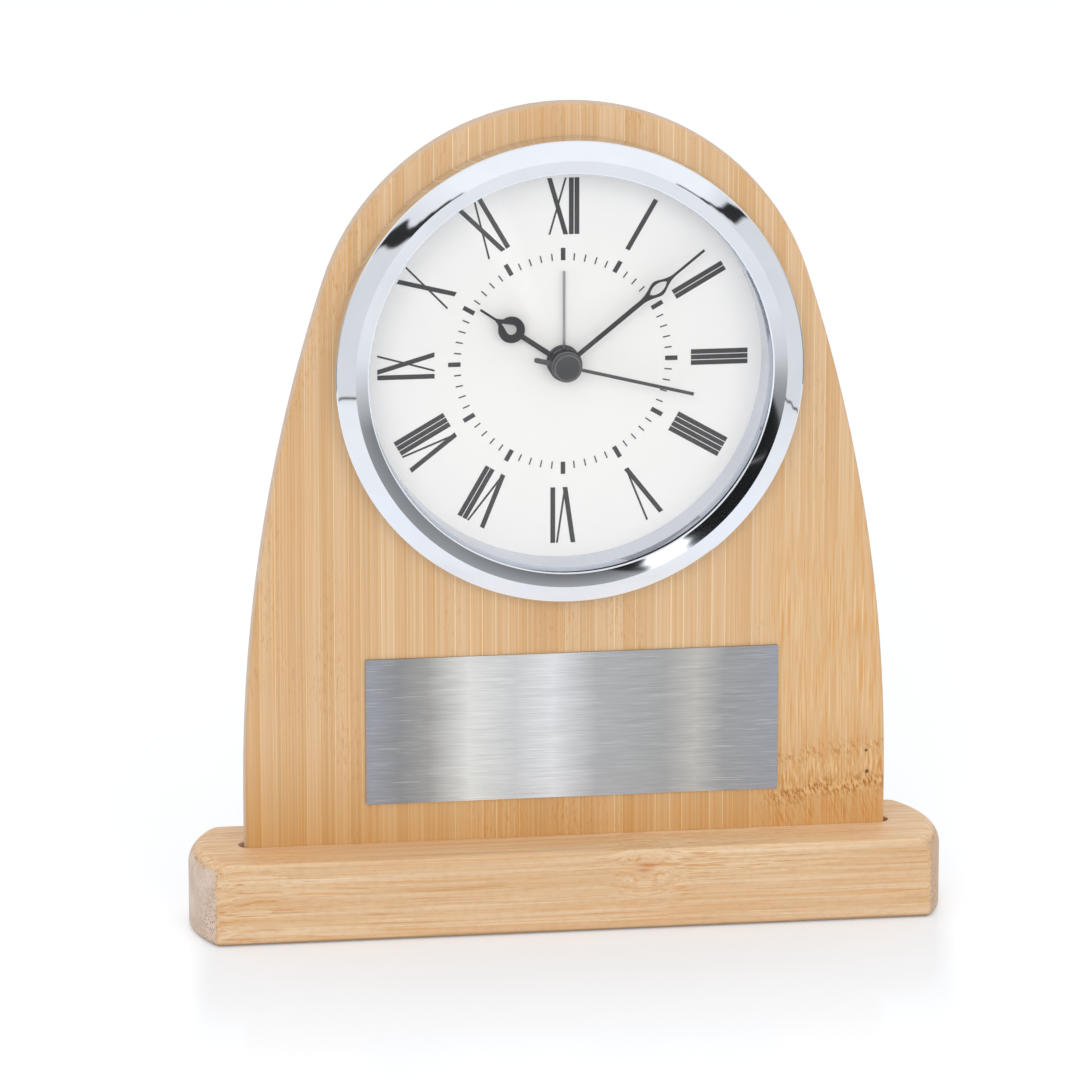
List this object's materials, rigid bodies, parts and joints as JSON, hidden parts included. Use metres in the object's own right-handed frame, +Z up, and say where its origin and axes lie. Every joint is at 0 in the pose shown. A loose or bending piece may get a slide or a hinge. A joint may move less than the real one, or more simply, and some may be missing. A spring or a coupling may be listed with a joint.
{
  "type": "desk clock",
  "caption": "Arched bamboo desk clock standing in a slotted base, with a round chrome-rimmed alarm clock insert, Roman dial and a blank engraving plate.",
  "frame": {"origin": "middle of the base's underside, on the table", "axes": "+Z up, -Y out of the dial toward the reader, +X to the reader's right"},
  "size_m": [0.168, 0.045, 0.183],
  "materials": {
    "bamboo_base": "satin lacquer over end-to-end bamboo strips",
    "bamboo_panel": "satin lacquer over upright bamboo strips",
    "screw_steel": "zinc plated",
    "brushed_plate": "fine brushing along its length",
    "tape": "thin foam tape",
    "chrome": "mirror plated",
    "lens_glass": "clear polished",
    "spacer_white": "glossy moulded",
    "dial_white": "matt white",
    "dial_ink": "matt dark grey print",
    "black_plastic": "fine moulded texture",
    "gasket_rubber": "matt",
    "movement_plastic": "moulded",
    "gear_white": "moulded acetal",
    "rotor_magnet": "ground magnet",
    "motor_iron": "stamped",
    "coil_copper": "enamelled wire",
    "board_green": "solder mask",
    "crystal_can": "drawn can",
    "buzzer_black": "moulded",
    "cell_sleeve": "printed sleeve, plain",
    "contact_metal": "nickel plated",
    "hand_black": "satin dark grey",
    "hand_grey": "satin",
    "knob_black": "ribbed",
    "switch_red": "moulded"
  },
  "bodies": {
    "clock": {"base_block": "bamboo_base", "arch_panel": "bamboo_panel", "base_screws": "screw_steel", "engraving_plate": "brushed_plate", "plate_tape": "tape", "bezel_ring": "chrome", "lens": "lens_glass", "dial_spacer_ring": "spacer_white", "dial_disc": "dial_white", "dial_numerals": "dial_ink", "dial_minute_track": "dial_ink", "insert_cup": "black_plastic", "grip_gasket": "gasket_rubber", "movement_housing": "movement_plastic", "movement_middle_plate": "movement_plastic", "movement_lid": "movement_plastic", "movement_screws": "screw_steel", "stator": "motor_iron", "coil_core": "motor_iron", "drive_coil": "coil_copper", "circuit_board": "board_green", "control_chip": "black_plastic", "quartz_crystal": "crystal_can", "buzzer": "buzzer_black", "battery_cell": "cell_sleeve", "battery_contacts": "contact_metal", "rear_cover": "black_plastic", "cover_screws": "screw_steel"},
    "seconds": {"second_wheel": "gear_white", "second_hand": "hand_black", "second_hand_cap": "hand_black"},
    "third": {"third_wheel": "gear_white"},
    "fifth": {"fifth_wheel": "gear_white"},
    "rotor": {"rotor": "rotor_magnet"},
    "minutes": {"centre_wheel": "gear_white", "minute_hand": "hand_black"},
    "hours": {"hour_wheel": "gear_white", "hour_hand": "hand_black"},
    "time_setting": {"minute_wheel": "gear_white", "time_set_knob": "knob_black"},
    "alarm_setting": {"alarm_set_arbor": "gear_white", "alarm_set_knob": "knob_black"},
    "alarm": {"alarm_wheel": "gear_white", "alarm_hand": "hand_grey"},
    "alarm_switch": {"alarm_switch": "switch_red"},
    "battery_door": {"battery_door": "black_plastic"}
  },
  "joints": [
    {"name": "second_hand_turn", "type": "hinge", "parent": "clock", "child": "seconds", "pos_m": [0, -0.002, 0.1244], "axis": [0, 1, 0], "continuous": true},
    {"name": "third_wheel_turn", "type": "hinge", "parent": "clock", "child": "third", "pos_m": [0, -0.002, 0.1329], "axis": [0, 1, 0], "continuous": true},
    {"name": "fifth_wheel_turn", "type": "hinge", "parent": "clock", "child": "fifth", "pos_m": [0.00432, -0.002, 0.11692], "axis": [0, 1, 0], "continuous": true},
    {"name": "rotor_turn", "type": "hinge", "parent": "clock", "child": "rotor", "pos_m": [-0.00053, -0.002, 0.11412], "axis": [0, 1, 0], "continuous": true},
    {"name": "minute_hand_turn", "type": "hinge", "parent": "clock", "child": "minutes", "pos_m": [0, -0.002, 0.1244], "axis": [0, 1, 0], "continuous": true},
    {"name": "hour_hand_turn", "type": "hinge", "parent": "clock", "child": "hours", "pos_m": [0, -0.002, 0.1244], "axis": [0, 1, 0], "continuous": true},
    {"name": "time_set_knob_turn", "type": "hinge", "parent": "clock", "child": "time_setting", "pos_m": [0.012, -0.002, 0.1244], "axis": [0, 1, 0], "continuous": true},
    {"name": "alarm_set_knob_turn", "type": "hinge", "parent": "clock", "child": "alarm_setting", "pos_m": [-0.012, -0.002, 0.1244], "axis": [0, 1, 0], "continuous": true},
    {"name": "alarm_hand_turn", "type": "hinge", "parent": "clock", "child": "alarm", "pos_m": [0, -0.002, 0.1244], "axis": [0, 1, 0], "continuous": true},
    {"name": "alarm_switch_slide", "type": "slide", "parent": "clock", "child": "alarm_switch", "axis": [1, 0, 0], "range_m": [0, 0.003]},
    {"name": "battery_door_slide", "type": "slide", "parent": "clock", "child": "battery_door", "axis": [0, 0, -1], "range_m": [0, 0.008]}
  ],
  "couplings": [
    {"joint": "fifth_wheel_turn", "follows": "second_hand_turn", "ratio": -5},
    {"joint": "rotor_turn", "follows": "second_hand_turn", "ratio": 30},
    {"joint": "third_wheel_turn", "follows": "second_hand_turn", "ratio": -0.13333},
    {"joint": "minute_hand_turn", "follows": "second_hand_turn", "ratio": 0.016667},
    {"joint": "time_set_knob_turn", "follows": "second_hand_turn", "ratio": -0.0055556},
    {"joint": "hour_hand_turn", "follows": "second_hand_turn", "ratio": 0.0013889},
    {"joint": "alarm_hand_turn", "follows": "alarm_set_knob_turn", "ratio": -0.25}
  ]
}
